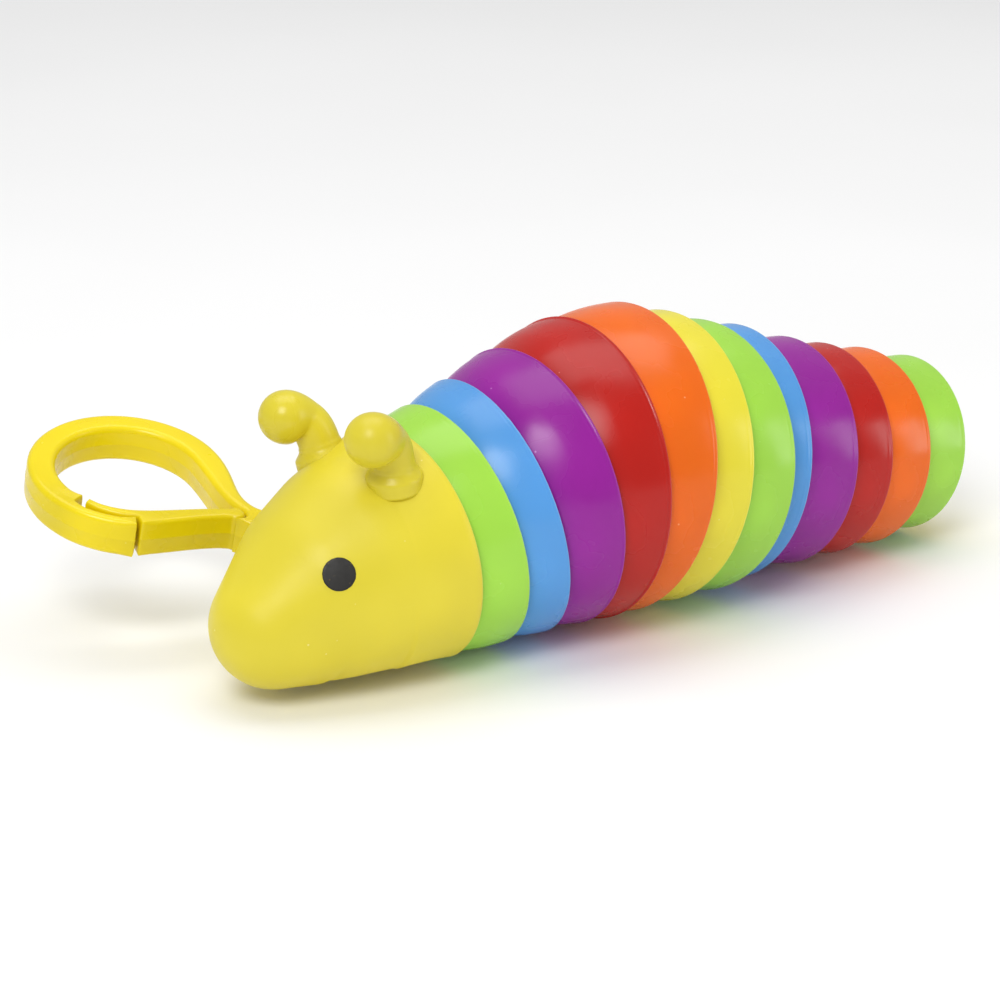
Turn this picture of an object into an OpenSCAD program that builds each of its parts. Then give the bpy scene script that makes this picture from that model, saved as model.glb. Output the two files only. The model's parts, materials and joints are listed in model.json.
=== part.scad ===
// Jointed bell-segment slug with a side snap clip, in millimetres.
// The row runs along +X from the head to the tail and rests on Z = 0.

/* [Segments] */
// Distance from the head's rim to the first segment's rim
first_gap = 6.2; // [5.8:0.1:7]
// Usual distance between two neighbouring rims
rim_gap = 5.5; // [5.2:0.1:6]
// Extra distance ahead of the two long segments: the ninth and the last
long_gap_extra = 1.9; // [0:0.1:2.5]
// Rim radius of the head
head_rim_r = 12.5; // [12:0.1:13.5]
// Growth of the rim radius over the rising segments
rim_rise = 1.0; // [0.7:0.05:1.1]
// Wall thickness of a bell
wall = 0.9; // [0.7:0.05:1.1]
// Wall left at the chamfered rim
rim_edge = 0.5; // [0.4:0.05:0.7]
// Length of a bell from its open rim to its front web
bell_len = 7.5; // [7:0.1:8]
// How far the tail's cap stands behind the last rim
tail_depth = 5.0; // [4.8:0.1:6]

/* [Joints] */
// Distance from a segment's rim back to its joint centre
joint_back = 2.0; // [1.5:0.1:2.4]
// Pin radius of the universal cross
pin_r = 0.6; // [0.5:0.05:0.7]
// Running clearance between a pin and its hole
pin_clear = 0.05; // [0.03:0.01:0.08]
// Radius of the ball at the middle of the cross
hub_r = 1.25; // [1:0.05:1.35]

/* [Head] */
// Radius of each antenna's ball
ball_r = 2.75; // [2:0.05:3]
// Radius of each eye
eye_r = 1.75; // [1.2:0.05:2.2]
// Wall thickness of the head
head_wall = 1.3; // [1:0.1:1.6]

/* [Clip] */
// Outer radius of the clip's loop
loop_r = 10.5; // [9:0.1:12]
// Width of the clip's strand in the plane of the loop
strand_w = 2.9; // [2.4:0.1:3.4]
// Height of the clip's strand across the plane of the loop
strand_h = 4.2; // [3.4:0.1:4.6]
// Distance from the head's wall to the centre of the loop
loop_reach = 17.2; // [16:0.1:19]

/* [Hidden] */
$fn = 96;
eps = 0.01;
SEGMENTS = 12;
ring_names = [for (i = [1:SEGMENTS]) str("ring_", i < 10 ? "0" : "", i)];
cross_names = [for (i = [1:SEGMENTS]) str("joint_cross_", i < 10 ? "0" : "", i)];

yellow = [0.90, 0.83, 0.25];
rainbow = [
    [0.66, 0.85, 0.35],
    [0.43, 0.67, 0.90],
    [0.62, 0.23, 0.61],
    [0.74, 0.24, 0.20],
    [0.94, 0.50, 0.26],
    yellow
];
// Place in the rainbow of each ring: the twelfth is green, and the tail's cap is yellow
ring_hue = [0, 1, 2, 3, 4, 5, 0, 1, 2, 3, 4, 0];

// Where the head's rim centre stands in the row's frame
row_start = [-23.4, -9.93, 12.51];
// Heading and pitch of the head, then of each segment, in degrees
headings = [1, -3, -6, -1, -1, -1, 0, 5, -2, -1, 0, 3, 1];
pitches = [6.5, 10.5, 11.5, 6.5, -1.5, -9.5, -9.5, -8.5, -9.5, -8.5, -8, -8.5, -9.5];
head_roll = -5;

// Rim radii: three rising steps of the row, then the widest, then the taper
rise = [for (i = [0:3]) head_rim_r + 0.6 + i * rim_rise];
rim_radius = concat([head_rim_r], rise, [16.3, 15.5, 14.6, 13.8, 12.5, 11.7, 11, 9.8]);
// Rim-to-rim distance ahead of each segment
gap_trim = [0, -0.4, -0.3, 0, 0.1, -0.2, -0.3, 0, 0, 0.1, 0.2, 0];
function is_long(i) = i == 9 || i == SEGMENTS;
function gap(i) =
    i == 1 ? first_gap : rim_gap + gap_trim[i - 1] + (is_long(i) ? long_gap_extra : 0);

// Room left between a bell and the rim ahead of it, at rest and at the ends of its swing
nest_clear = 0.45;
sweep_clear = 0.3;

// Arms inside a bell widen forwards from the joint, so that bells nest
arm_in = 1.5;
arm_out = 2.4;
arm_slope = 0.46;
arm_half_h = 1.1;
arm_t = 0.5;
foot_len = 1.3;
foot_hold = 0.5;
fork_half_w = 1.2;
plate_x = 1.9;
plate_t = 0.8;
plate_half_w = 1.9;
throat_r = 6.7;
web_t = 1.0;
chamfer_len = 1.4;
pin_half = 2.3;
last_arm_end = 1.3;

// Moves from the row's frame to the head (0) or to a segment's joint centre (1 to 12)
module at_segment(i) {
    if (i == 0) {
        translate(row_start)
            rotate([0, 0, headings[0]])
                rotate([0, -pitches[0], 0])
                    rotate([head_roll, 0, 0])
                        children();
    } else {
        at_segment(i - 1)
            translate([joint_step(i), 0, 0])
                rotate([0, 0, headings[i] - headings[i - 1]])
                    rotate([0, pitches[i - 1] - pitches[i], 0])
                        children();
    }
}

// Moves to the cross between segment i - 1 and segment i, which shares i's heading
module at_cross(i) {
    at_segment(i - 1)
        translate([joint_step(i), 0, 0])
            rotate([0, 0, headings[i] - headings[i - 1]])
                children();
}

// Distance from the previous joint centre, or from the head's rim, to joint i
function joint_step(i) = i == 1 ? gap(1) + joint_back : gap(i);

// Turns the profile's axis, which is Z, onto the segment's axis, +X
module revolve() {
    rotate([0, 90, 0])
        rotate_extrude()
            children();
}

// Half profile of a bell: x is the radius and y runs along the axis from the joint centre.
// The arc falls from the rim radius to clear the rim ahead of it; the circle about the
// joint centre keeps the front of the bell inside the sweep of that rim.
module bell_profile(i, skin) {
    r = rim_radius[i];
    rim_y = -joint_back;
    front_y = rim_y - bell_len;
    arc_back = 1.5;
    inner_ahead = rim_radius[i - 1] - rim_edge;
    ahead = gap(i);
    drop = max(r - inner_ahead + nest_clear, 0.9);
    span = pow(ahead + arc_back, 2) - pow(arc_back, 2);
    arc_x = (span / drop + drop) / 2;
    arc_r = sqrt(arc_x * arc_x + arc_back * arc_back);
    sweep_r = sqrt(pow(inner_ahead, 2) + pow(ahead + joint_back, 2)) - sweep_clear;
    intersection() {
        translate([0, front_y + (skin > 0 ? web_t : 0)])
            square([r, bell_len + skin]);
        union() {
            translate([r - arc_x, rim_y + arc_back])
                circle(arc_r - skin, $fn = 200);
            if (r > arc_x)
                translate([0, rim_y - bell_len])
                    square([r - arc_x, bell_len + skin]);
        }
        circle(sweep_r - skin, $fn = 200);
    }
}

// Bell shell with its front web and the throat that lets the part ahead pass through
module bell(i) {
    r = rim_radius[i];
    rim_y = -joint_back;
    revolve()
        difference() {
            bell_profile(i, 0);
            bell_profile(i, wall);
            square([2 * throat_r, 4 * bell_len], center = true);
            polygon([
                [r - rim_edge, rim_y + eps],
                [r - wall - 0.1, rim_y - chamfer_len],
                [r - wall - 0.6, rim_y + eps]
            ]);
        }
}

// Two side arms that carry the cross's level pin, as far back as end_x. Each arm is slim
// midway, where the next bell's throat swings past, and has a foot on the web.
module side_arms(end_x) {
    root_x = -joint_back - bell_len + web_t / 2;
    root_in = arm_in - arm_slope * root_x;
    foot_x = root_x + foot_len;
    difference() {
        for (side = [-1, 1])
            translate([0, 0, -arm_half_h])
                linear_extrude(2 * arm_half_h)
                    polygon([
                        [root_x, side * root_in],
                        [0, side * arm_in],
                        [end_x, side * arm_in],
                        [end_x, side * plate_half_w],
                        [pin_r + 0.4, side * arm_out],
                        [-pin_r - 0.4, side * (arm_out + 0.1)],
                        [foot_x, side * (arm_in - arm_slope * foot_x + arm_t)],
                        [root_x, side * (throat_r + foot_hold)]
                    ]);
        rotate([90, 0, 0])
            cylinder(r = pin_r + pin_clear, h = 8, center = true);
    }
}

// Fork that carries the next cross's upright pin, reach mm behind its own plate
module rear_fork(from_x, reach) {
    difference() {
        union() {
            translate([from_x, -plate_half_w, -arm_out])
                cube([plate_t, 2 * plate_half_w, 2 * arm_out]);
            for (side = [0, 1])
                mirror([0, 0, side]) {
                    translate([from_x, -fork_half_w, arm_in])
                        cube([reach - from_x, 2 * fork_half_w, arm_out - arm_in]);
                    translate([reach, 0, arm_in])
                        cylinder(r = fork_half_w, h = arm_out - arm_in);
                }
        }
        translate([reach, 0, 0])
            cylinder(r = pin_r + pin_clear, h = 8, center = true);
    }
}

module ring(i) {
    color(rainbow[ring_hue[i - 1]])
        at_segment(i)
            union() {
                bell(i);
                if (i < SEGMENTS) {
                    side_arms(plate_x + plate_t);
                    rear_fork(plate_x, joint_step(i + 1));
                } else {
                    side_arms(last_arm_end);
                }
            }
}

// Domed cap pressed into the open rim of the last ring, with a skirt in its chamfer
module tail() {
    rim_y = -joint_back;
    edge_r = rim_radius[SEGMENTS] - rim_edge;
    seat_r = rim_radius[SEGMENTS] - wall - 0.1;
    cap_r = (edge_r * edge_r + tail_depth * tail_depth) / (2 * tail_depth);
    bite = 0.15;
    color(yellow)
        at_segment(SEGMENTS)
            union() {
                revolve()
                    intersection() {
                        translate([0, rim_y + tail_depth - cap_r])
                            difference() {
                                circle(cap_r, $fn = 200);
                                circle(cap_r - wall, $fn = 200);
                            }
                        translate([0, rim_y])
                            square([edge_r, tail_depth + 1]);
                    }
                revolve()
                    polygon([
                        [edge_r - bite, rim_y + bite],
                        [seat_r, rim_y - chamfer_len],
                        [seat_r - wall, rim_y - chamfer_len],
                        [edge_r - wall, rim_y + 2 * bite]
                    ]);
            }
}

// Cross with an upright pin for the part ahead and a level pin for the part behind
module joint_cross(i) {
    color("whitesmoke")
        at_cross(i)
            union() {
                sphere(hub_r);
                cylinder(r = pin_r, h = 2 * pin_half, center = true);
                rotate([90, 0, 0])
                    cylinder(r = pin_r, h = 2 * pin_half, center = true);
            }
}

// Solid blank of the head, grown or shrunk by skin
module head_blank(skin) {
    hull() {
        translate([-0.8, 0, 0])
            rotate([0, 90, 0])
                cylinder(r = head_rim_r + skin, h = 0.8 + (skin < 0 ? 1 : 0), $fn = 96);
        translate([-5, 0, -0.4])
            sphere(11.4 + skin, $fn = 48);
        translate([-9.5, 0, -1])
            sphere(10 + skin, $fn = 48);
        translate([-17.2, 0, -2.9])
            sphere(6.4 + skin, $fn = 48);
    }
}

// Where the antennae, the eyes and the clip's stem meet the head
antenna_foot = [-4.2, 5.8, 8.6];
antenna_knee = [-4.6, 6.6, 12.2];
antenna_ball = [-7, 7.4, 14.4];
stalk_r = 1.9;
peg_r = 1.1;
eye_place = [-13.35, 7.25, 2.55];
eye_turn = 118;
eye_lift = 20;
clip_pivot = [-7.8, 12.1, 11];
clip_heading = 122;
clip_rise = 14;
clip_roll = -9;
stem_r = 1.5;
stem_in = 6.1;

// Moves to the clip's frame: X out along the stem, Z across the plane of the loop
module at_clip() {
    translate([row_start.x + clip_pivot.x, row_start.y + clip_pivot.y, clip_pivot.z])
        rotate([0, 0, clip_heading])
            rotate([clip_roll, -clip_rise, 0])
                children();
}

module antenna_peg(side, r) {
    translate([antenna_foot.x, side * antenna_foot.y, antenna_foot.z - 1.6])
        cylinder(r = r, h = 3.4);
}

module eye_plug(side, r, deep) {
    translate([eye_place.x, side * eye_place.y, eye_place.z])
        rotate([0, 0, side * eye_turn])
            rotate([0, 90 - eye_lift, 0])
                translate([0, 0, -deep])
                    cylinder(r = r, h = deep + (deep > 2 ? 3 : 0.9));
}

// Opens the inside of the head's rim, so that the first bell can swing in it
module rim_chamfer() {
    depth = 1.2;
    translate([-depth, 0, 0])
        rotate([0, 90, 0])
            cylinder(r1 = head_rim_r - head_wall - 0.2, r2 = head_rim_r - rim_edge, h = depth + eps);
}

module head_shell() {
    color(yellow)
        difference() {
            at_segment(0)
                difference() {
                    head_blank(0);
                    head_blank(-head_wall);
                    translate([0, -2 * head_rim_r, -2 * head_rim_r])
                        cube(4 * head_rim_r);
                    rim_chamfer();
                    for (side = [-1, 1]) {
                        antenna_peg(side, peg_r);
                        eye_plug(side, eye_r, 3);
                    }
                }
            at_clip()
                rotate([0, 90, 0])
                    cylinder(r = stem_r + pin_clear, h = 2 * stem_in, center = true);
        }
}

// Spine pressed into the head: a disc, a beam and the fork for the first cross
module head_fork() {
    disc_x = -12;
    disc_r = 8.35;
    beam_end = joint_step(1) - 3.6;
    color(yellow)
        at_segment(0)
            union() {
                translate([disc_x, 0, -1.2])
                    rotate([0, 90, 0])
                        cylinder(r = disc_r, h = 1);
                translate([disc_x, -plate_half_w, -arm_out])
                    cube([beam_end - disc_x, 2 * plate_half_w, 2 * arm_out]);
                rear_fork(beam_end - eps, joint_step(1));
            }
}

module antenna(side) {
    color(yellow)
        at_segment(0) {
            at_side = function (p) [p.x, side * p.y, p.z];
            antenna_peg(side, peg_r);
            translate(at_side(antenna_ball))
                sphere(ball_r, $fn = 48);
            hull() {
                translate(at_side(antenna_foot + [0, 0.2, 1.2]))
                    sphere(stalk_r + 0.2, $fn = 32);
                translate(at_side(antenna_knee))
                    sphere(stalk_r, $fn = 32);
            }
            hull() {
                translate(at_side(antenna_knee))
                    sphere(stalk_r, $fn = 32);
                translate(at_side(antenna_ball))
                    sphere(stalk_r, $fn = 32);
            }
        }
}

module eye(side) {
    color([0.08, 0.07, 0.06])
        at_segment(0)
            eye_plug(side, eye_r - 0.02, 0.4);
}

// Points of a cubic Bezier curve from a to d
function bezier(a, b, c, d, steps = 14) = [
    for (k = [0:steps])
        let (t = k / steps, u = 1 - t)
            u * u * u * a + 3 * u * u * t * b + 3 * u * t * t * c + t * t * t * d
];

loop_in = loop_r - strand_w;
hook_end = 122.5;
tongue_start = 80;
tongue_r = loop_r - 1.55;
gate_root = [4.4, 0.75];
gate_root_r = 0.95;

// Point at radius r and angle a about the centre of the loop
function on_loop(r, a) = [loop_reach + r * cos(a), r * sin(a)];

// Wedge of the loop from angle a to angle b, both under 180 degrees apart
module loop_wedge(a, b) {
    far = 3 * loop_r;
    mid = (a + b) / 2;
    polygon([
        [loop_reach, 0],
        on_loop(far, a),
        on_loop(far, mid),
        on_loop(far, b)
    ]);
}

// Part of the loop's band between radii r_in and r_out, from angle a to angle b
module loop_band(r_in, r_out, a, b) {
    intersection() {
        translate([loop_reach, 0])
            difference() {
                circle(r_out, $fn = 200);
                circle(r_in, $fn = 200);
            }
        loop_wedge(a, b);
    }
}

// Snap hook's frame: stem, neck, spine and the loop as far as the hook's end
module clip_frame() {
    spine_a = -122;
    neck_w = 1.7;
    run_out = [sin(spine_a), -cos(spine_a)];
    outer_start = on_loop(loop_r, spine_a);
    inner_start = on_loop(loop_in, spine_a);
    spine_outline = concat(
        bezier(outer_start, outer_start + 5 * run_out, [6.5, -neck_w - 0.6], [3.2, -neck_w]),
        bezier([4.4, -0.35], [7, -0.8], inner_start + 3 * run_out, inner_start)
    );
    color(yellow)
        at_clip()
            union() {
                linear_extrude(strand_h, center = true)
                    difference() {
                        union() {
                            loop_band(loop_in, loop_r, spine_a - 2, 0.5);
                            loop_band(loop_in, loop_r, 0, tongue_start);
                            loop_band(tongue_r + 0.1, loop_r, tongue_start - 0.5, hook_end);
                            polygon(spine_outline);
                            translate([0.6, -neck_w])
                                square([3.8, 2 * neck_w]);
                        }
                        translate(gate_root)
                            circle(gate_root_r + 0.1);
                    }
                translate([-stem_in, 0, 0])
                    rotate([0, 90, 0])
                        cylinder(r = stem_r, h = stem_in + 1);
            }
}

// Springy gate: round root in the neck, bar, and a tongue that closes inside the hook.
// Its heel and the tip of its tongue are cut back to swing clear of the hook.
module clip_gate() {
    notch_a = hook_end + 1.2;
    heel = on_loop(loop_r - 0.25, hook_end + 2.5);
    tip_a = tongue_start + 6;
    bar_outline = concat(
        [gate_root - [0.3, 0.1]],
        bezier([4.2, 1.6], [6.6, 3.0], [9.0, 6.4], heel),
        [on_loop(tongue_r, notch_a)],
        bezier(on_loop(loop_in + 0.1, notch_a), [10.4, 4.8], [7.6, 1.6], [5.0, 0.25])
    );
    root_a = notch_a + 4;
    tongue_outline = concat(
        [for (a = [root_a:-3:tip_a]) on_loop(tongue_r - (root_a - a) / 90, a)],
        [for (a = [tip_a:3:root_a]) on_loop(loop_in + 0.1, a)]
    );
    color(yellow)
        at_clip()
            union() {
                translate(gate_root)
                    cylinder(r = gate_root_r, h = strand_h, center = true);
                linear_extrude(strand_h, center = true) {
                    polygon(bar_outline);
                    polygon(tongue_outline);
                }
            }
}

// Push-on washer that keeps the stem in the head's wall
module clip_retainer() {
    washer_r = 2.0;
    color("whitesmoke")
        at_clip()
            translate([0.3 - stem_in, 0, 0])
                rotate([0, 90, 0])
                    difference() {
                        cylinder(r = washer_r, h = 1);
                        translate([0, 0, -1])
                            cylinder(r = stem_r, h = 3);
                    }
}

head_shell();
head_fork();
antenna(-1);  // antenna_left
antenna(1);  // antenna_right
eye(-1);  // eye_left
eye(1);  // eye_right
for (i = [1:SEGMENTS])
    ring(i);
tail();
for (i = [1:SEGMENTS])
    joint_cross(i);
clip_frame();
clip_gate();
clip_retainer();
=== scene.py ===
"""Looks of the jointed slug with a snap clip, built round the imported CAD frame."""
import json
import math

import bmesh
import bpy
import numpy as np
from mathutils import Matrix, Vector, noise
from mathutils.geometry import tessellate_polygon


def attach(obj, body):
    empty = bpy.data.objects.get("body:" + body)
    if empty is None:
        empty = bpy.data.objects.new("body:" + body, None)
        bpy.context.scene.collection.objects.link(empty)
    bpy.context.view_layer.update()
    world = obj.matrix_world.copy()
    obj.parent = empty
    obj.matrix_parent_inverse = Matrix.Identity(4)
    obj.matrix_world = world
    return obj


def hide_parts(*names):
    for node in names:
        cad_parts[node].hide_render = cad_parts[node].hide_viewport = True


MM = 0.001
SEGMENTS = 12

# Design sizes shared with the CAD source, in millimetres
WALL = 0.9
RIM_EDGE = 0.5
BELL_LEN = 7.5
JOINT_BACK = 2.0
WEB_T = 1.0
THROAT_R = 6.7
ARM_IN = 1.5
ARM_OUT = 2.4
ARM_SLOPE = 0.46
ARM_HALF_H = 1.1
ARM_T = 0.5
FOOT_LEN = 1.3
FOOT_HOLD = 0.5
PIN_R = 0.6
PLATE_HALF_W = 1.9
FIRST_GAP = 6.2
ARC_BACK = 1.5
NEST_CLEAR = 0.45
SWEEP_CLEAR = 0.3
FORK_HALF_W = 1.2
PLATE_X = 1.9
PLATE_T = 0.8
HOLE_R = 0.65
BORE_HALF = 4.0
TAIL_CAP = 5.0
SKIRT = 1.4
LAST_ARM_END = 1.3
HEAD_WALL = 1.3
BALL_R = 2.75
STALK_R = 2.15
EYE_R = 1.64
LOOP_R = 10.5
STRAND_W = 2.9
STRAND_H = 4.2
LOOP_REACH = 17.2
STEM_R = 1.5
STEM_IN = 6.1

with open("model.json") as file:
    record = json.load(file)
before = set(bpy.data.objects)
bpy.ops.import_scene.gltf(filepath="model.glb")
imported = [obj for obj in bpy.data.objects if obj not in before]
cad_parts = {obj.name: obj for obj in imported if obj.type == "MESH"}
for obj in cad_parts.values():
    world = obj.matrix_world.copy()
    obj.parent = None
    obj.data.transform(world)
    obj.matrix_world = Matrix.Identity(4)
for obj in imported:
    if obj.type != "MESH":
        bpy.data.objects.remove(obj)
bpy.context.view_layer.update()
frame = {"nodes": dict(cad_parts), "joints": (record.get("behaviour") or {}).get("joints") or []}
joints = {j["name"]: j for j in frame["joints"]}


# ---------------------------------------------------------------- frames of the bodies

def rest_angle(name):
    """Angle of a joint at rest: its stops are even about the straight row."""
    low, high = joints[name]["range_deg"]
    return -math.radians(low + high) / 2


def matrix_from(x_axis, y_axis, z_axis, origin):
    m = Matrix.Identity(4)
    for k, column in enumerate((x_axis, y_axis, z_axis, origin)):
        for row in range(3):
            m[row][k] = column[row]
    return m


def segment_frames():
    """Frame of the head (0, at its rim centre) and of each segment (at its joint centre)."""
    found = []
    for i in range(SEGMENTS + 1):
        ahead = joints[f"pitch_{max(i, 1):02d}"]
        y_axis = Vector(ahead["axis"])
        origin = Vector(ahead["pos_m"])
        if i < SEGMENTS:
            z_axis = Vector(joints[f"yaw_{i + 1:02d}"]["axis"])
            if i == 0:
                y_axis.rotate(Matrix.Rotation(-rest_angle("yaw_01"), 3, z_axis))
            x_axis = y_axis.cross(z_axis)
        else:
            cross_x = y_axis.cross(Vector(joints[f"yaw_{i:02d}"]["axis"]))
            x_axis = Matrix.Rotation(rest_angle(f"pitch_{i:02d}"), 3, y_axis) @ cross_x
            z_axis = x_axis.cross(y_axis)
        found.append(matrix_from(x_axis, y_axis, z_axis, origin))
    found[0] = found[0] @ Matrix.Translation((-(FIRST_GAP + JOINT_BACK) * MM, 0, 0))
    return found


def local_points(node, placed):
    """Vertices of a CAD node in a local frame, in metres."""
    co = np.array([v.co for v in frame["nodes"][node].data.vertices])
    inverse = np.array(placed.inverted())
    return co @ inverse[:3, :3].T + inverse[:3, 3]


def rim_radius(node, placed, rim_x):
    """Outer radius of a node at its rim plane, in millimetres."""
    co = local_points(node, placed) / MM
    at_rim = co[np.abs(co[:, 0] - rim_x) < 0.02]
    return float(np.hypot(at_rim[:, 1], at_rim[:, 2]).max())


# ---------------------------------------------------------------- mesh helpers

def added(name, data):
    """New object of the scene."""
    thing = bpy.data.objects.new(name, data)
    bpy.context.scene.collection.objects.link(thing)
    return thing


def mesh_of(name, verts_mm, faces):
    """Mesh from points in millimetres."""
    mesh = bpy.data.meshes.new(name)
    mesh.from_pydata([tuple(c * MM for c in v) for v in verts_mm], [], faces)
    return mesh


def build(name, verts_mm, faces, placed, material, body, slot, replaced=()):
    """Mesh object from local millimetre points, placed in the row frame and tied to its body."""
    mesh = mesh_of(name, verts_mm, faces)
    mesh.validate()
    mesh.shade_smooth()
    piece = added(name, mesh)
    piece.matrix_world = placed
    mesh.materials.append(material)
    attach(piece, body)
    if replaced:
        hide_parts(*replaced)
    return piece


def keep_edges(piece, degrees):
    """Shades edges sharper than this as creases."""
    bpy.context.view_layer.objects.active = piece
    piece.data.set_sharp_from_angle(angle=math.radians(degrees))


def bands(pairs, around):
    """Faces between pairs of rings of point numbers; a ring may be one number repeated."""
    faces = []
    for a, b in pairs:
        for k in range(around):
            n = (k + 1) % around
            quad = [a[k], a[n], b[n], b[k]]
            faces.append([v for j, v in enumerate(quad) if v != quad[j - 1]])
    return faces


def lathe(profile, around, closed=True, shift=None):
    """Turns (x, r) points about the local X axis. shift(x, r, angle) may move a point."""
    verts, rings = [], []
    for x, r in profile:
        if r < 1e-6:
            rings.append([len(verts)] * around)
            verts.append((x, 0.0, 0.0))
            continue
        ring = []
        for k in range(around):
            angle = 2 * math.pi * k / around
            dx, dr = shift(x, r, angle) if shift else (0.0, 0.0)
            ring.append(len(verts))
            verts.append((x + dx, (r + dr) * math.cos(angle), (r + dr) * math.sin(angle)))
        rings.append(ring)
    pairs = list(zip(rings, rings[1:]))
    if closed:
        pairs.append((rings[-1], rings[0]))
    return verts, bands(pairs, around)


def arc(cx, cy, r, start, end, steps):
    """Points on a circle from angle start to angle end, in degrees."""
    angles = [math.radians(start + (end - start) * k / steps) for k in range(steps + 1)]
    return [(cx + r * math.cos(a), cy + r * math.sin(a)) for a in angles]


def bezier(a, b, c, d, steps=24):
    """Points of a cubic curve."""
    a, b, c, d = (Vector(p) for p in (a, b, c, d))
    out = []
    for k in range(steps + 1):
        t = k / steps
        u = 1 - t
        out.append(tuple(u**3 * a + 3 * u * u * t * b + 3 * u * t * t * c + t**3 * d))
    return out


def round_corners(outline, radius, sharpest=25):
    """Replaces each sharp corner of a closed outline by a short curve."""
    out = []
    count = len(outline)
    for k, point in enumerate(outline):
        p = Vector(point)
        back = Vector(outline[k - 1]) - p
        ahead = Vector(outline[(k + 1) % count]) - p
        turn = 180 - math.degrees(back.angle(ahead, math.pi))
        if turn < sharpest:
            out.append(tuple(p))
            continue
        reach = min(radius, 0.45 * back.length, 0.45 * ahead.length)
        a = p + back.normalized() * reach
        b = p + ahead.normalized() * reach
        for step in range(5):
            t = step / 4
            out.append(tuple((1 - t) ** 2 * a + 2 * t * (1 - t) * p + t * t * b))
    return out


def resample(outline, spacing):
    """Even points along a closed outline."""
    loop = np.array(outline + outline[:1])
    run = np.concatenate([[0], np.cumsum(np.linalg.norm(np.diff(loop, axis=0), axis=1))])
    at = np.linspace(0, run[-1], max(12, int(run[-1] / spacing)), endpoint=False)
    return np.stack([np.interp(at, run, loop[:, 0]), np.interp(at, run, loop[:, 1])], axis=1)


def inward_normals(points):
    """Unit normals of a closed outline, pointing to its inside."""
    tangent = np.roll(points, -1, axis=0) - np.roll(points, 1, axis=0)
    tangent /= np.linalg.norm(tangent, axis=1)[:, None]
    normal = np.stack([-tangent[:, 1], tangent[:, 0]], axis=1)
    x, y = points[:, 0], points[:, 1]
    area = (x * np.roll(y, -1) - np.roll(x, -1) * y).sum() / 2
    return normal if area > 0 else -normal


def cross2(a, b):
    """Cross product of plane vectors."""
    return a[..., 0] * b[..., 1] - a[..., 1] * b[..., 0]


# Shares of the width and of the local bend radius that an inward offset may use
WIDTH_SHARE = 0.42
BEND_SHARE = 0.8


def room_inside(points, inward, most):
    """Largest inward offset that each point of a closed outline can take."""
    edge = np.roll(points, -1, axis=0) - points
    apart = points[None] - points[:, None]
    slant = cross2(inward[:, None], edge[None])
    slant = np.where(np.abs(slant) < 1e-9, 1e-9, slant)
    reach = cross2(apart, edge[None]) / slant
    share = cross2(apart, inward[:, None]) / slant
    hit = (reach > 0.05) & (share >= 0) & (share <= 1)
    across = np.where(hit, reach, np.inf).min(axis=1)
    back = np.roll(edge, 1, axis=0)
    turn = np.abs(np.arctan2(cross2(back, edge), (back * edge).sum(axis=1)))
    bend = np.linalg.norm(edge, axis=1) / np.maximum(turn, 1e-6)
    room = np.minimum(np.minimum(WIDTH_SHARE * across, BEND_SHARE * bend), most)
    near = np.stack([np.roll(room, k) for k in range(-3, 4)])
    room = near.min(axis=0)
    return np.stack([np.roll(room, k) for k in range(-3, 4)]).mean(axis=0)


SEAM_FOOT = 0.12
SEAM_TOP = 0.04


def slab(outline, half, fillet, seam=0.0, steps=5):
    """Plate of an outline in XY, with rounded edges and a parting ridge at half height."""
    points = np.array(outline, float)
    inward = inward_normals(points)
    room = room_inside(points, inward, fillet)[:, None]
    layers = []
    for k in range(steps + 1):
        a = math.pi / 2 * (1 - k / steps)
        layers.append((-half + fillet * (1 - math.sin(a)), 1 - math.cos(a), 0.0))
    if seam:
        layers += [(-SEAM_FOOT, 0.0, 0.0), (-SEAM_TOP, 0.0, seam),
                   (SEAM_TOP, 0.0, seam), (SEAM_FOOT, 0.0, 0.0)]
    layers += [(-z, share, 0.0) for z, share, _ in layers[steps::-1]]
    verts, faces = [], []
    count = len(points)
    for z, share, proud in layers:
        verts += [(x, y, z) for x, y in points + inward * (room * share - proud)]
    for level in range(len(layers) - 1):
        base, top = level * count, (level + 1) * count
        for k in range(count):
            n = (k + 1) % count
            faces.append((base + k, base + n, top + n, top + k))
    last = (len(layers) - 1) * count
    for first, flip in ((0, True), (last, False)):
        cap = [Vector(verts[first + k]) for k in range(count)]
        for tri in tessellate_polygon([cap]):
            face = tuple(first + k for k in tri)
            faces.append(face[::-1] if flip else face)
    return verts, faces


def joined(parts):
    """One vertex and face list from several."""
    verts, faces = [], []
    for part_verts, part_faces in parts:
        base = len(verts)
        verts += part_verts
        faces += [tuple(base + v for v in face) for face in part_faces]
    return verts, faces


def outward(piece):
    """Turns all faces of a closed piece outwards."""
    bm = bmesh.new()
    bm.from_mesh(piece.data)
    bmesh.ops.recalc_face_normals(bm, faces=bm.faces)
    bm.to_mesh(piece.data)
    bm.free()
    return piece


def drill(piece, placed, bores):
    """Cuts round bores of HOLE_R; each is a centre and an axis in the piece's own frame."""
    profile = [(-BORE_HALF, 0.0), (-BORE_HALF, HOLE_R), (BORE_HALF, HOLE_R), (BORE_HALF, 0.0)]
    verts, faces = lathe(profile, 40, closed=False)
    for centre, axis in bores:
        bore = added("bore", mesh_of("bore", verts, faces))
        turn = Vector((1, 0, 0)).rotation_difference(Vector(axis)).to_matrix().to_4x4()
        bore.matrix_world = placed @ Matrix.Translation(Vector(centre) * MM) @ turn
        outward(bore)
        modifier = piece.modifiers.new("bore", "BOOLEAN")
        modifier.operation = "DIFFERENCE"
        modifier.object = bore
        bpy.context.view_layer.update()
        shaped = piece.evaluated_get(bpy.context.evaluated_depsgraph_get())
        piece.data = bpy.data.meshes.new_from_object(shaped)
        piece.modifiers.clear()
        bpy.data.objects.remove(bore)


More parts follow.
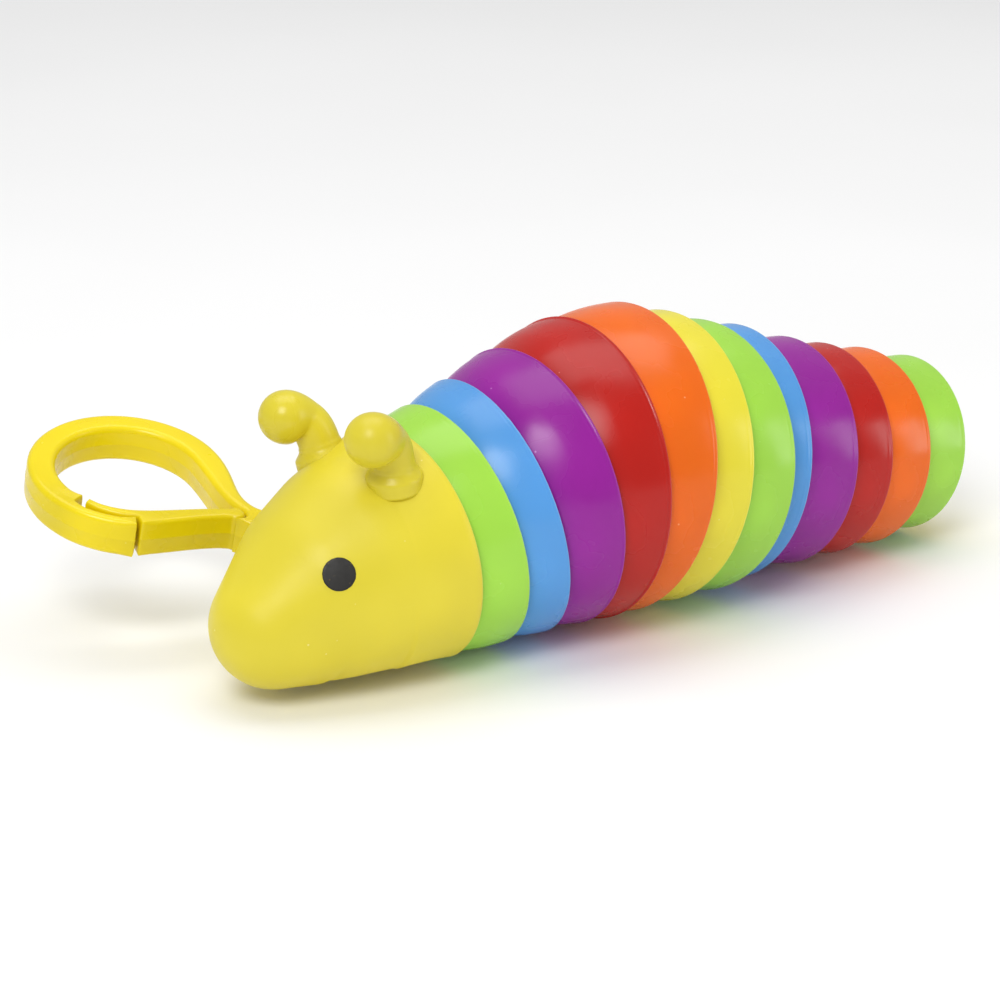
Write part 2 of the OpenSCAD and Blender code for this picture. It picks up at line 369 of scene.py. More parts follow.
# ---------------------------------------------------------------- materials

def linear(colour):
    """Linear RGBA of a display colour."""
    def channel(c):
        return c / 12.92 if c <= 0.04045 else ((c + 0.055) / 1.055) ** 2.4
    return tuple(channel(c) for c in colour) + (1.0,)


class Nodes:
    """Short way to add and link shader nodes."""

    def __init__(self, name):
        self.material = bpy.data.materials.new(name)
        self.material.use_nodes = True
        self.tree = self.material.node_tree
        self.shader = self.tree.nodes["Principled BSDF"]

    def add(self, kind, **settings):
        node = self.tree.nodes.new(kind)
        for key, value in settings.items():
            if key.startswith("in_"):
                node.inputs[key[3:].replace("_", " ")].default_value = value
            else:
                setattr(node, key, value)
        return node

    def link(self, source, target):
        self.tree.links.new(source, target)

    def coords(self, scale):
        """Object coordinates, stretched by a scale for each axis."""
        place = self.add("ShaderNodeTexCoord")
        mapping = self.add("ShaderNodeMapping")
        mapping.inputs["Scale"].default_value = scale
        self.link(place.outputs["Object"], mapping.inputs["Vector"])
        return mapping.outputs["Vector"]

    def ramp(self, source, low, high, out_low=0.0, out_high=1.0):
        """Map of a value from low..high to out_low..out_high, clamped."""
        node = self.add("ShaderNodeMapRange", interpolation_type="SMOOTHSTEP")
        for key, value in zip(("From Min", "From Max", "To Min", "To Max"),
                              (low, high, out_low, out_high)):
            node.inputs[key].default_value = value
        self.link(source, node.inputs["Value"])
        return node.outputs["Result"]

    def blend(self, factor, first, second):
        """Colour mix; first and second are sockets or linear RGBA values."""
        node = self.add("ShaderNodeMix", data_type="RGBA")
        self.link(factor, node.inputs["Factor"])
        for socket, value in ((node.inputs[6], first), (node.inputs[7], second)):
            if isinstance(value, tuple):
                socket.default_value = value
            else:
                self.link(value, socket)
        return node.outputs[2]

    def noise(self, scale, detail=3.0, stretch=(1, 1, 1), rough=0.5):
        node = self.add("ShaderNodeTexNoise", in_Scale=scale, in_Detail=detail,
                        in_Roughness=rough)
        self.link(self.coords(stretch), node.inputs["Vector"])
        return node.outputs["Fac"]

    def cells(self, scale):
        """Distance to the nearest of many scattered points."""
        node = self.add("ShaderNodeTexVoronoi", in_Scale=scale)
        self.link(self.coords((1, 1, 1)), node.inputs["Vector"])
        return node.outputs["Distance"]

    def times(self, first, second):
        """Product of two values."""
        node = self.add("ShaderNodeMath", operation="MULTIPLY")
        self.link(first, node.inputs[0])
        self.link(second, node.inputs[1])
        return node.outputs[0]

    def bump(self, height, strength, distance, normal=None):
        node = self.add("ShaderNodeBump", in_Strength=strength, in_Distance=distance)
        self.link(height, node.inputs["Height"])
        if normal is not None:
            self.link(normal, node.inputs["Normal"])
        return node.outputs["Normal"]

    def surface(self, tone, rough, normal):
        """Links colour, roughness and normal to the shader."""
        self.link(tone, self.shader.inputs["Base Color"])
        self.link(rough, self.shader.inputs["Roughness"])
        self.link(normal, self.shader.inputs["Normal"])

    def subsurface(self, weight, radius, scale):
        """Lets light into the plastic, as far as the scale in metres."""
        self.shader.inputs["Subsurface Weight"].default_value = weight
        self.shader.inputs["Subsurface Radius"].default_value = radius
        self.shader.inputs["Subsurface Scale"].default_value = scale


def shade(colour, factor):
    """A display colour made darker or lighter."""
    return tuple(min(1.0, c * factor) for c in colour)


def toward_white(colour, share):
    return tuple(c + (1 - c) * share for c in colour)


def plastic(name, colour, rough, rim=None, seed=0.0, scuffs=0.4, grain=0.25, deep=0.93):
    """Moulded plastic: soft colour drift, a painted highlight that makes the rim paler, dust
    specks, hair scratches, fine grain.
    """
    n = Nodes(name)
    drift = n.ramp(n.noise(45 + 3 * seed, 2.0), 0.35, 0.68)
    tone = n.blend(drift, linear(shade(colour, deep)), linear(colour))
    if rim is not None:
        # Painted highlight: the colour turns paler over the last 0.28 mm up to the rim, where light
        # catches the edge.
        split = n.add("ShaderNodeSeparateXYZ")
        place = n.add("ShaderNodeTexCoord")
        n.link(place.outputs["Object"], split.inputs["Vector"])
        rim_highlight = n.ramp(split.outputs["X"], (rim - 0.28) * MM, rim * MM, 0.0, 0.55)
        tone = n.blend(rim_highlight, tone, linear(toward_white(colour, 0.35)))
    speck = n.ramp(n.cells(420.0 + 17 * seed), 0.035, 0.06, 0.75, 0.0)
    sparse = n.ramp(n.noise(160 + 11 * seed, 1.0), 0.56, 0.6)
    tone = n.blend(n.times(speck, sparse), tone, linear(toward_white(colour, 0.5)))
    hair = n.noise(900, 2.0, (0.16, 1.0, 3.2), 0.6)
    patch = n.ramp(n.noise(75 + 5 * seed, 2.0), 0.52, 0.66)
    scratched = n.times(n.ramp(hair, 0.66, 0.7, 0.0, 0.5 * scuffs), patch)
    tone = n.blend(scratched, tone, linear(toward_white(colour, 0.22)))
    worn = n.ramp(n.noise(120 + 7 * seed, 3.0), 0.3, 0.7, rough - 0.05, rough + 0.09)
    fine = n.bump(n.noise(2600, 2.0), grain * 0.35, 0.03 * MM)
    wave = n.bump(n.noise(190, 1.0), 0.14, 0.1 * MM, fine)
    n.surface(tone, worn, n.bump(scratched, 0.25, 0.02 * MM, wave))
    n.shader.inputs["IOR"].default_value = 1.49
    n.shader.inputs["Specular IOR Level"].default_value = 0.38
    n.subsurface(0.12, tuple(0.3 + c for c in linear(colour)[:3]), 1.2 * MM)
    return n.material


def eye_ink():
    """Matt black print with brown specks and a fine weave of ink dots."""
    n = Nodes("eye_ink")
    dots = n.ramp(n.cells(2400.0), 0.12, 0.3, 1.0, 0.0)
    thin = n.ramp(n.noise(900, 2.0), 0.5, 0.62)
    tone = n.blend(n.times(dots, thin), linear((0.085, 0.075, 0.06)), linear((0.27, 0.22, 0.11)))
    n.surface(tone, n.ramp(n.noise(1500, 2.0), 0.3, 0.7, 0.42, 0.6),
              n.bump(n.noise(1900, 3.0), 0.35, 0.05 * MM))
    return n.material


def nylon():
    """Natural white joint pins: waxy, faintly cloudy."""
    n = Nodes("natural_nylon")
    cloud = n.ramp(n.noise(300, 3.0), 0.3, 0.7)
    tone = n.blend(cloud, linear((0.86, 0.85, 0.8)), linear((0.94, 0.93, 0.9)))
    n.surface(tone, n.ramp(n.noise(700, 2.0), 0.3, 0.7, 0.38, 0.5),
              n.bump(n.noise(2200, 2.0), 0.2, 0.03 * MM))
    n.subsurface(0.2, (1.0, 0.9, 0.8), 1.0 * MM)
    return n.material


RAINBOW = (
    ("green", (0.645, 0.870, 0.290)),
    ("blue", (0.340, 0.620, 0.890)),
    ("purple", (0.590, 0.090, 0.600)),
    ("red", (0.740, 0.080, 0.030)),
    ("orange", (0.950, 0.420, 0.020)),
    ("yellow", (0.940, 0.890, 0.230)),
)
RING_HUE = (0, 1, 2, 3, 4, 5, 0, 1, 2, 3, 4, 0)
HEAD_YELLOW = (0.890, 0.825, 0.210)
CLIP_YELLOW = (0.935, 0.845, 0.030)


# ---------------------------------------------------------------- bells

def bell_radii(r, inner_ahead, gap):
    """Function of x and skin: radius of a bell's wall, skin mm inside its outer face."""
    drop = max(r - inner_ahead + NEST_CLEAR, WALL)
    span = (gap + ARC_BACK) ** 2 - ARC_BACK**2
    arc_x = (span / drop + drop) / 2
    arc_r = math.hypot(arc_x, ARC_BACK)
    sweep_r = math.hypot(inner_ahead, gap + JOINT_BACK) - SWEEP_CLEAR

    def radius(x, skin):
        along = x + JOINT_BACK - ARC_BACK
        under = (arc_r - skin) ** 2 - along * along
        curve = r - arc_x + math.sqrt(max(under, 0.0))
        swept = math.sqrt(max((sweep_r - skin) ** 2 - x * x, 0.0))
        return min(curve, swept, r)

    return radius


FLASH_LEN = 0.35


def rim_flash(seed, amount):
    """Uneven moulding edge: moves the points nearest the rim by a few hundredths of a mm."""
    def shift(x, r, angle):
        near = max(0.0, 1 - abs(x + JOINT_BACK) / FLASH_LEN)
        if near == 0:
            return 0.0, 0.0
        around = Vector((math.cos(angle), math.sin(angle), seed))
        slow = noise.noise(around * 2.1)
        fast = noise.noise(around * 23.0 + Vector((7, 0, 0)))
        burr = max(0.0, slow - 0.12) * (0.6 + fast)
        return near * amount * (0.35 * fast + 1.1 * burr), near * amount * 0.8 * burr
    return shift


LIP_LINE = ((1.0, 0.0), (0.72, 0.0), (0.62, 0.012), (0.52, 0.0), (0.36, -0.012))
RIM_FILLET = 0.22


def bell_profile(radius, r):
    """Closed section of a bell: outside, rim, chamfer, inside, front web and throat."""
    rim = -JOINT_BACK
    front = rim - BELL_LEN
    outer = [(x, radius(x, 0)) for x in np.linspace(front + 0.25, rim - 1.1, 26)]
    lip = [(rim - before, radius(rim - before, 0) + lift) for before, lift in LIP_LINE]
    edge = [(rim - RIM_FILLET + RIM_FILLET * math.sin(a), r - RIM_FILLET + RIM_FILLET * math.cos(a))
            for a in np.linspace(0, math.pi / 2, 6)]
    chamfer = [(rim, r - RIM_EDGE + 0.05), (rim - 0.06, r - RIM_EDGE - 0.02),
               (rim - 1.3, radius(rim - 1.3, WALL) + 0.02)]
    inner = [(x, radius(x, WALL)) for x in np.linspace(rim - 1.6, front + WEB_T, 18)]
    throat = [(front + WEB_T, THROAT_R + 0.15), (front + WEB_T - 0.1, THROAT_R),
              (front + 0.12, THROAT_R), (front, THROAT_R + 0.14),
              (front, radius(front, 0) - 0.3), (front + 0.07, radius(front, 0) - 0.08)]
    return outer + lip + edge + chamfer + inner + throat


def side_arms(end_x):
    """Two slanted arms: slim midway, with a foot on the web, local to the joint centre."""
    root_x = -JOINT_BACK - BELL_LEN + WEB_T / 2
    foot_x = root_x + FOOT_LEN
    parts = []
    for side in (-1, 1):
        outline = [(root_x, ARM_IN - ARM_SLOPE * root_x), (0, ARM_IN),
                   (end_x, ARM_IN), (end_x, PLATE_HALF_W), (PIN_R + 0.4, ARM_OUT),
                   (-PIN_R - 0.4, ARM_OUT + 0.1),
                   (foot_x, ARM_IN - ARM_SLOPE * foot_x + ARM_T),
                   (root_x, THROAT_R + FOOT_HOLD)]
        points = resample([(x, side * y) for x, y in outline], 0.25)
        parts.append(slab(points, ARM_HALF_H, 0.1, steps=2))
    return joined(parts)


def rear_fork(from_x, reach):
    """Plate and the two prongs that hold the next cross's upright pin."""
    plate = [(from_x, -PLATE_HALF_W), (from_x + PLATE_T, -PLATE_HALF_W),
             (from_x + PLATE_T, PLATE_HALF_W), (from_x, PLATE_HALF_W)]
    parts = [slab(resample(round_corners(plate, 0.15), 0.2), ARM_OUT, 0.12, steps=2)]
    tip = arc(reach, 0, FORK_HALF_W, -90, 90, 14)
    prong = [(from_x + 0.2, -FORK_HALF_W)] + tip + [(from_x + 0.2, FORK_HALF_W)]
    half = (ARM_OUT - ARM_IN) / 2
    verts, faces = slab(resample(prong, 0.25), half, 0.12, steps=2)
    for side in (-1, 1):
        parts.append(([(x, y, z + side * (ARM_IN + half)) for x, y, z in verts], faces))
    return joined(parts)


LEVEL_BORE = ((0, 0, 0), (0, 1, 0))


def ring(i, frames, radii, gaps, material, slot):
    """One coloured bell with its arms and fork."""
    node = f"ring_{i:02d}"
    body = f"segment_{i:02d}"
    radius = bell_radii(radii[i], radii[i - 1] - RIM_EDGE, gaps[i])
    profile = bell_profile(radius, radii[i])
    ragged = 0.09 if i in (1, 7) else 0.045
    verts, faces = lathe(profile, 180, shift=rim_flash(1.7 * i, ragged))
    bell = build(f"{node}_bell", verts, faces, frames[i], material, body, slot, (node,))
    outward(bell)
    keep_edges(bell, 50)
    parts, bores = [side_arms(LAST_ARM_END)], [LEVEL_BORE]
    if i < SEGMENTS:
        step = (frames[i + 1].translation - frames[i].translation).length / MM
        parts = [side_arms(PLATE_X + PLATE_T), rear_fork(PLATE_X, step)]
        bores.append(((step, 0, 0), (0, 0, 1)))
    inside = build(f"{node}_carrier", *joined(parts), frames[i], material, body, slot)
    drill(outward(inside), frames[i], bores)
    keep_edges(inside, 40)


def tail(placed, r, material):
    """Domed cap pressed into the last rim, with a skirt in its chamfer."""
    rim = -JOINT_BACK
    edge_r = r - RIM_EDGE
    seat_r = r - WALL - 0.1
    cap_r = (edge_r**2 + TAIL_CAP**2) / (2 * TAIL_CAP)
    centre = rim + TAIL_CAP - cap_r

    def dome(skin, from_r):
        top = cap_r - skin
        angles = np.linspace(0, math.asin(from_r / top), 30)
        return [(centre + top * math.cos(a), top * math.sin(a)) for a in angles]

    outer = dome(0.0, edge_r - 0.02)
    inner = dome(WALL, edge_r - 1.4 * WALL)[::-1]
    skirt = [(rim, edge_r), (rim - SKIRT + 0.1, seat_r + 0.03), (rim - SKIRT, seat_r - 0.1),
             (rim - SKIRT, seat_r - WALL + 0.1), (rim - SKIRT + 0.1, seat_r - WALL)]
    verts, faces = lathe(outer + skirt + inner, 180, closed=False)
    cap = build("tail_cap", verts, faces, placed, material, f"segment_{SEGMENTS}", "yellow",
                ("tail",))
    keep_edges(outward(cap), 40)


# ---------------------------------------------------------------- head

HEAD_RIM_R = 12.5
# x, z and radius of the balls along the head's middle line
HEAD_SPINE = ((-5.0, -0.4, 11.4), (-9.5, -1.0, 10.0), (-17.2, -2.9, 6.4))
CONE_SLOPE = math.tan(math.radians(11.6))
CONE_FRONT = -7.3
CONE_BACK = -0.8
CONE_LEN = 4.2
CONE_DROP = 0.4
NOSE = Vector((HEAD_SPINE[-1][0], 0.0, HEAD_SPINE[-1][1]))


def head_spheres():
    """Balls that fill the head, close enough together to make one smooth skin."""
    steps = 60
    out = []
    for a, b in zip(HEAD_SPINE, HEAD_SPINE[1:]):
        for k in range(steps):
            t = k / steps
            out.append([a[j] + (b[j] - a[j]) * t for j in range(3)])
    out.append(list(HEAD_SPINE[-1]))
    return np.array(out)


SPHERES = head_spheres()


def head_reach(start, direction):
    """Distance from an inside point to the skin of the plain head, along a unit direction."""
    offset = np.stack([start[0] - SPHERES[:, 0], np.full(len(SPHERES), start[1]),
                       start[2] - SPHERES[:, 1]], axis=1)
    b = offset @ np.array(direction)
    under = b * b - (offset**2).sum(1) + SPHERES[:, 2] ** 2
    exits = np.where(under > 0, -b + np.sqrt(np.maximum(under, 0)), -1)
    best = exits.max()
    if abs(direction[0]) < 1e-6 and start[0] > CONE_FRONT:
        ahead = min(0.0, start[0] - CONE_BACK)
        cone_r = HEAD_RIM_R + ahead * CONE_SLOPE
        lift = start[2] - CONE_DROP * ahead / CONE_LEN
        b = lift * direction[2]
        best = max(best, -b + math.sqrt(b * b - lift * lift + cone_r * cone_r))
    return float(best)


JAW_FLAT = -10.7
JAW_SLOPE = -0.065
JAW_FLARE = 1.4
JAW_SOFT = 1.1
JAW_FLARE_LEN = 2.2
CREASE_X = -14.2
CREASE_CURVE = 0.09
CREASE_TOP = -9.0
CREASE_DEPTH = 0.11
CREASE_W = 0.32
FACE_CENTRE_Z = -2.0
HEAD_CHAMFER = 1.2


def smooth_max(a, b, soft):
    """The larger of two values, with a soft change between them."""
    h = max(0.0, min(1.0, 0.5 + (a - b) / (2 * soft)))
    return b + (a - b) * h + soft * h * (1 - h)


def head_form(point, skin):
    """Adds the flat jaw and the mouth crease to a point of the plain head."""
    x, y, z = point
    crease_x = CREASE_X + CREASE_CURVE * max(0.0, z - CREASE_TOP) ** 2
    behind = max(0.0, min(1.0, (x - crease_x) / 0.9 + 0.5))
    behind = behind * behind * (3 - 2 * behind)
    jaw = JAW_FLAT + JAW_SLOPE * x - JAW_FLARE * math.exp(x / JAW_FLARE_LEN) + skin
    flat = smooth_max(z, jaw, JAW_SOFT)
    z += (flat - z) * behind
    low = max(0.0, min(1.0, (-z - 6.8) / 2.6))
    groove = CREASE_DEPTH * low * math.exp(-(((x - crease_x) / CREASE_W) ** 2))
    reach = math.hypot(y, z - FACE_CENTRE_Z)
    if reach > 1e-6:
        y -= groove * y / reach
        z -= groove * (z - FACE_CENTRE_Z) / reach
    return x, y, z


def head_rows():
    """Start point and tilt of each row of rays, from the nose to the rim."""
    rows = [(NOSE, a) for a in np.linspace(0, math.pi / 2, 34)[:-1]]
    knots = HEAD_SPINE[::-1] + ((CONE_BACK, 0.0, 0.0),)
    for x in np.linspace(NOSE.x, -0.3, 76):
        z = float(np.interp(x, [knot[0] for knot in knots], [knot[1] for knot in knots]))
        rows.append((Vector((x, 0.0, z)), math.pi / 2))
    return rows


def head_skin(skin, around, rows):
    """Rings of points of the head's skin, skin mm inside its outer face."""
    rings = []
    for start, tilt in rows:
        ring_points = []
        for k in range(around if tilt > 0 else 1):
            a = 2 * math.pi * k / around
            across = math.sin(tilt)
            d = Vector((-math.cos(tilt), across * math.cos(a), across * math.sin(a)))
            reach = head_reach(start, d) - skin
            ring_points.append(head_form(start + d * reach, skin))
        rings.append(ring_points)
    return rings


def head(placed, material):
    """Hollow head: outer skin, rounded rim and inner skin in one closed mesh."""
    around = 160
    rows = head_rows()
    outer = head_skin(0.0, around, rows)
    inner = head_skin(HEAD_WALL, around, [row for row in rows if row[0].x < -HEAD_CHAMFER - 0.3])
    rim = outer[-1]
    lip = []
    for inset, x in ((0.07, -0.08), (0.2, 0.0), (RIM_EDGE - 0.05, 0.0), (RIM_EDGE + 0.03, -0.06),
                     (HEAD_WALL + 0.2, -HEAD_CHAMFER)):
        ring_points = []
        for _, y, z in rim:
            r = math.hypot(y, z)
            ring_points.append((x, y * (r - inset) / r, z * (r - inset) / r))
        lip.append(ring_points)
    rings = outer + lip + inner[::-1]
    verts, index = [], []
    for points in rings:
        if len(points) == 1:
            index.append([len(verts)] * around)
        else:
            index.append(list(range(len(verts), len(verts) + around)))
        verts += [tuple(p) for p in points]
    faces = bands(zip(index, index[1:]), around)
    shell = build("head_shell_skin", verts, faces, placed, material, "head", "yellow",
                  ("head_shell",))
    outward(shell)
    keep_edges(shell, 60)


def sweep(path, radii, around=48):
    """Closed round bar along a path, ending in a point at both ends."""
    points = [Vector(p) for p in path]
    verts, rings = [tuple(points[0])], []
    side = Vector((0, 1, 0))
    for k, p in enumerate(points[1:-1], start=1):
        run = (points[k + 1] - points[k - 1]).normalized()
        side = (side - run * side.dot(run)).normalized()
        up = run.cross(side)
        ring_index = []
        for j in range(around):
            a = 2 * math.pi * j / around
            ring_index.append(len(verts))
            verts.append(tuple(p + radii[k] * (side * math.cos(a) + up * math.sin(a))))
        rings.append(ring_index)
    verts.append(tuple(points[-1]))
    faces = bands(zip(rings, rings[1:]), around)
    for j in range(around):
        n = (j + 1) % around
        faces.append((0, rings[0][n], rings[0][j]))
        faces.append((len(verts) - 1, rings[-1][j], rings[-1][n]))
    return verts, faces


HORN_FOOT = Vector((-4.2, 5.8, 8.0))
HORN_BALL = Vector((-7.0, 7.4, 14.4))
HORN_STEPS = 60
FOOT_FLARE_AT = 1.6
FOOT_FLARE = 0.75
FOOT_FLARE_LEN = 0.75
WITNESS_AT = 2.9
WITNESS = 0.06
WITNESS_W = 0.12
BALL_BLEND = 0.8


def antenna(side, name, placed, material):
    """Horn with a ball end: flared foot, witness ring, curved stalk, blended ball."""
    foot, ball = HORN_FOOT, HORN_BALL
    curve = bezier(foot, foot + Vector((-0.1, 0.5, 4.2)), Vector((-3.9, 6.9, 13.6)), ball,
                   HORN_STEPS)
    run = (Vector(curve[-1]) - Vector(curve[-4])).normalized()
    points = [Vector(p) for p in curve]
    points += [ball + run * BALL_R * math.sin(a) for a in np.linspace(0.06, math.pi / 2, 22)]
    lengths = [0.0]
    for a, b in zip(points, points[1:]):
        lengths.append(lengths[-1] + (b - a).length)
    middle = lengths[HORN_STEPS]
    radii = []
    for run_len in lengths:
        stalk = STALK_R
        stalk += FOOT_FLARE * math.exp(-(max(0.0, run_len - FOOT_FLARE_AT) / FOOT_FLARE_LEN) ** 2)
        stalk += WITNESS * math.exp(-(((run_len - WITNESS_AT) / WITNESS_W) ** 2))
        inside = BALL_R**2 - (run_len - middle) ** 2
        globe = math.sqrt(max(inside, 0.0))
        radii.append(globe if run_len > middle else smooth_max(stalk, globe, BALL_BLEND))
    mirrored = [(p.x, side * p.y, p.z) for p in points]
    verts, faces = sweep(mirrored, radii)
    piece = build(f"{name}_horn", verts, faces, placed, material, "head", "yellow", (name,))
    outward(piece)


EYE_PLACE = Vector((-13.35, 7.25, 2.55))
EYE_TURN = math.radians(118)
EYE_LIFT = math.radians(20)


def eye(side, name, placed, material):
    """Black disc that follows the head's curve, with an uneven edge."""
    axis = Vector((math.cos(EYE_LIFT) * math.cos(EYE_TURN), math.cos(EYE_LIFT) * math.sin(EYE_TURN),
                   math.sin(EYE_LIFT)))
    across = Vector((0, 0, 1)).cross(axis).normalized()
    up = axis.cross(across)
    around = 96
    verts, index = [], []
    levels = [(share, 0.03 + 0.05 * share**2) for share in np.linspace(0, 0.92, 16)]
    levels += [(0.98, 0.06), (1.0, 0.02), (1.0, -0.8), (0.0, -0.8)]
    for share, proud in levels:
        ring_index = []
        for k in range(around if share > 0 else 1):
            a = 2 * math.pi * k / around
            ragged = 1 + 0.014 * noise.noise(Vector((math.cos(a) * 6, math.sin(a) * 6, side)))
            r = EYE_R * share * (ragged if share > 0.9 else 1)
            base = EYE_PLACE - axis * 4 + across * r * math.cos(a) + up * r * math.sin(a)
            p = base + axis * (head_reach(base, axis) + proud)
            ring_index.append(len(verts))
            verts.append((p.x, side * p.y, p.z))
        index.append(ring_index if share > 0 else ring_index * around)
    faces = bands(zip(index, index[1:]), around)
    piece = build(f"{name}_disc", verts, faces, placed, material, "head", "eye_black", (name,))
    outward(piece)
    keep_edges(piece, 50)


# ---------------------------------------------------------------- clip

LOOP_IN = LOOP_R - STRAND_W
HOOK_END = 122.5
TONGUE_START = 80
TONGUE_R = LOOP_R - 1.55
NECK_W = 1.7
SPINE_A = -122
GATE_ROOT = (4.4, 0.75)
GATE_ROOT_R = 0.95
EDGE_FILLET = 0.7


def on_loop(r, angle):
    a = math.radians(angle)
    return (LOOP_REACH + r * math.cos(a), r * math.sin(a))


def loop_arc(r, start, end, steps):
    return arc(LOOP_REACH, 0, r, start, end, steps)


def clip_place():
    """Frame of the clip: X along the stem, Z across the loop, origin at the swivel."""
    swivel, gate = joints["clip_swivel"], joints["gate_flex"]
    x_axis, z_axis = Vector(swivel["axis"]), Vector(gate["axis"])
    return matrix_from(x_axis, z_axis.cross(x_axis), z_axis, Vector(swivel["pos_m"]))


def clip_frame(placed, material):
    """Stem, neck, spine and loop of the hook."""
    a = math.radians(SPINE_A)
    run_out = Vector((math.sin(a), -math.cos(a)))
    outer_start, inner_start = Vector(on_loop(LOOP_R, SPINE_A)), Vector(on_loop(LOOP_IN, SPINE_A))
    outline = bezier((3.2, -NECK_W), (6.5, -NECK_W - 0.6), outer_start + 5 * run_out, outer_start)
    outline += loop_arc(LOOP_R, SPINE_A, HOOK_END, 120)[1:]
    outline += loop_arc(TONGUE_R + 0.1, HOOK_END, TONGUE_START, 24)
    outline += loop_arc(LOOP_IN, TONGUE_START, SPINE_A, 90)
    outline += bezier(inner_start, inner_start + 3 * run_out, (7, -0.8), (4.4, -0.35))[1:]
    outline += arc(GATE_ROOT[0], GATE_ROOT[1], GATE_ROOT_R + 0.1, -95, -245, 14)
    outline += [(0.6, NECK_W), (0.6, -NECK_W)]
    points = resample(round_corners(outline, 0.7), 0.22)
    verts, faces = slab(points, STRAND_H / 2, EDGE_FILLET, seam=0.035, steps=7)
    piece = build("clip_frame_hook", verts, faces, placed, material, "clip", "clip_yellow",
                  ("clip_frame",))
    keep_edges(outward(piece), 50)
    stem_profile = [(-STEM_IN, 0.0), (-STEM_IN, STEM_R - 0.25), (-STEM_IN + 0.25, STEM_R),
                    (0.7, STEM_R), (0.9, STEM_R + 0.1), (1.2, STEM_R + 0.1), (1.2, 0.0)]
    stem = build("clip_frame_stem", *lathe(stem_profile, 64, closed=False), placed, material,
                 "clip", "clip_yellow")
    keep_edges(outward(stem), 40)


def clip_gate(placed, material):
    """Springy gate with a round root and a tongue inside the hook."""
    notch = HOOK_END + 1.2
    heel = on_loop(LOOP_R - 0.25, HOOK_END + 2.5)
    tip = TONGUE_START + 6
    outline = bezier((4.2, 1.6), (6.6, 3.0), (9.0, 6.4), heel)
    outline += [on_loop(TONGUE_R, notch)]
    for angle in np.arange(notch - 2, tip, -3):
        outline.append(on_loop(TONGUE_R - (notch + 4 - angle) / 90, angle))
    outline += [on_loop(TONGUE_R - (notch + 4 - tip) / 90, tip)]
    outline += loop_arc(LOOP_IN + 0.1, tip, notch, 24)
    outline += bezier(on_loop(LOOP_IN + 0.1, notch), (10.4, 4.8), (7.6, 1.6), (5.0, 0.25))[1:]
    outline += arc(GATE_ROOT[0], GATE_ROOT[1], GATE_ROOT_R, -42, -256, 20)
    points = resample(round_corners(outline, 0.45), 0.18)
    verts, faces = slab(points, STRAND_H / 2, 0.45, seam=0.035, steps=6)
    piece = build("clip_gate_bar", verts, faces, placed, material, "gate", "clip_yellow",
                  ("clip_gate",))
    keep_edges(outward(piece), 50)


# ---------------------------------------------------------------- CAD nodes that stay

def finish_kept(names, material):
    """Gives carried-over CAD nodes their finish."""
    for name in names:
        node = frame["nodes"][name]
        node.data.materials.clear()
        node.data.materials.append(material)


# ---------------------------------------------------------------- stage

VIEW_TURN = math.radians(38)
VIEW_LIFT = math.radians(18.91)
VIEW_DISTANCE = 0.38506
VIEW_LENS = 118.8
AIM_FROM_RIM = Vector((38.04, 33.25))


def face_along(thing, direction):
    """Turns a camera or lamp to look along a direction."""
    thing.rotation_mode = "QUATERNION"
    thing.rotation_quaternion = direction.to_track_quat("-Z", "Y")


def camera(head_placed):
    """Camera at the product view's angle, aimed beside the row."""
    rim = head_placed.translation
    aim = Vector((rim.x + AIM_FROM_RIM.x * MM, rim.y + AIM_FROM_RIM.y * MM, 0.0))
    look = Vector((math.sin(VIEW_TURN) * math.cos(VIEW_LIFT),
                   math.cos(VIEW_TURN) * math.cos(VIEW_LIFT), -math.sin(VIEW_LIFT)))
    data = bpy.data.cameras.new("camera")
    data.lens = VIEW_LENS
    data.sensor_width = 36
    data.clip_start = 0.01
    data.clip_end = 20
    cam = added("camera", data)
    cam.location = aim - look * VIEW_DISTANCE
    face_along(cam, look)
    bpy.context.scene.camera = cam


def floor():
    """Pale studio sweep."""
    n = Nodes("floor_paper")
    tone = n.blend(n.ramp(n.noise(9, 2.0), 0.3, 0.7), linear((0.955, 0.955, 0.955)),
                   linear((0.965, 0.965, 0.965)))
    n.link(tone, n.shader.inputs["Base Color"])
    n.shader.inputs["Roughness"].default_value = 0.8
    size = 3.0
    mesh = bpy.data.meshes.new("floor")
    mesh.from_pydata([(-size, -size, 0), (size, -size, 0), (size, size, 0), (-size, size, 0)],
                     [], [(0, 1, 2, 3)])
    mesh.materials.append(n.material)
    plane = added("floor", mesh)
    plane.location.z = -0.05 * MM


LIT_POINT = Vector((0, 0, 0.01))


def softbox(name, place, size, power):
    """Rectangular area light aimed at the object."""
    data = bpy.data.lights.new(name, "AREA")
    data.shape = "RECTANGLE"
    data.size, data.size_y = size
    data.energy = power
    lamp = added(name, data)
    lamp.location = place
    face_along(lamp, LIT_POINT - Vector(place))


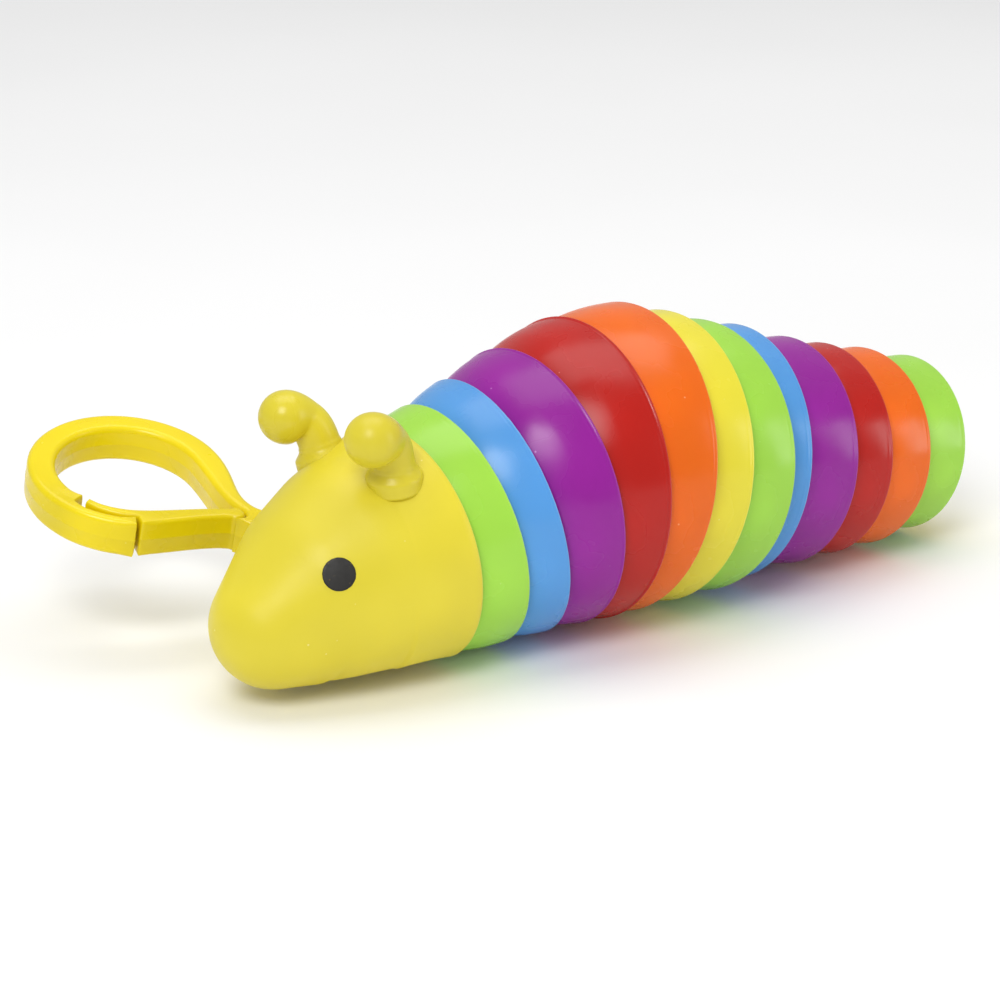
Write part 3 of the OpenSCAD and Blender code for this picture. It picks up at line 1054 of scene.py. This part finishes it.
def studio():
    """White surround and three softboxes."""
    world = bpy.data.worlds.new("studio")
    world.use_nodes = True
    world.node_tree.nodes["Background"].inputs["Color"].default_value = (1, 1, 1, 1)
    world.node_tree.nodes["Background"].inputs["Strength"].default_value = 0.5
    bpy.context.scene.world = world
    bpy.context.scene.view_settings.view_transform = "Standard"
    softbox("key", (-0.42, -0.30, 0.52), (0.30, 0.30), 2.35)
    softbox("side", (0.42, -0.50, 0.16), (0.16, 0.34), 0.6)
    softbox("top", (0.05, 0.10, 0.60), (0.6, 0.4), 1.6)


# ---------------------------------------------------------------- assembly

def main():
    frames = segment_frames()
    radii = [HEAD_RIM_R]
    for i in range(1, SEGMENTS + 1):
        radii.append(rim_radius(f"ring_{i:02d}", frames[i], -JOINT_BACK))
    gaps = [0.0]
    for i in range(1, SEGMENTS + 1):
        step = (frames[i].translation - frames[i - 1].translation).length / MM
        gaps.append(step - JOINT_BACK if i == 1 else step)

    camera(frames[0])
    floor()
    studio()

    skins = []
    for k in range(SEGMENTS):
        slot, colour = RAINBOW[RING_HUE[k]]
        # rim= places the painted rim highlight at each bell's rim.
        skins.append((slot, plastic(f"{slot}_plastic_{k + 1:02d}", colour, 0.24, rim=-JOINT_BACK,
                                    seed=k * 1.3)))
    for i in range(1, SEGMENTS + 1):
        slot, material = skins[i - 1]
        ring(i, frames, radii, gaps, material, slot)
    tail(frames[SEGMENTS], radii[SEGMENTS], plastic("tail_plastic", RAINBOW[5][1], 0.27, seed=13.0))

    # rim=0.0 places the painted rim highlight at the head's rim.
    head_plastic = plastic("head_plastic", HEAD_YELLOW, 0.4, rim=0.0, seed=4.0, scuffs=0.25,
                           grain=0.5, deep=0.95)
    horn_plastic = plastic("horn_plastic", HEAD_YELLOW, 0.3, seed=6.0, scuffs=0.3)
    clip_plastic = plastic("clip_plastic", CLIP_YELLOW, 0.25, seed=8.0, scuffs=0.4)
    ink = eye_ink()
    head(frames[0], head_plastic)
    for side, word in ((-1, "left"), (1, "right")):
        antenna(side, f"antenna_{word}", frames[0], horn_plastic)
        eye(side, f"eye_{word}", frames[0], ink)
    placed = clip_place()
    clip_frame(placed, clip_plastic)
    clip_gate(placed, clip_plastic)

    pins = nylon()
    finish_kept([f"joint_cross_{i:02d}" for i in range(1, SEGMENTS + 1)], pins)
    finish_kept(["clip_retainer"], pins)
    finish_kept(["head_fork"], head_plastic)


main()
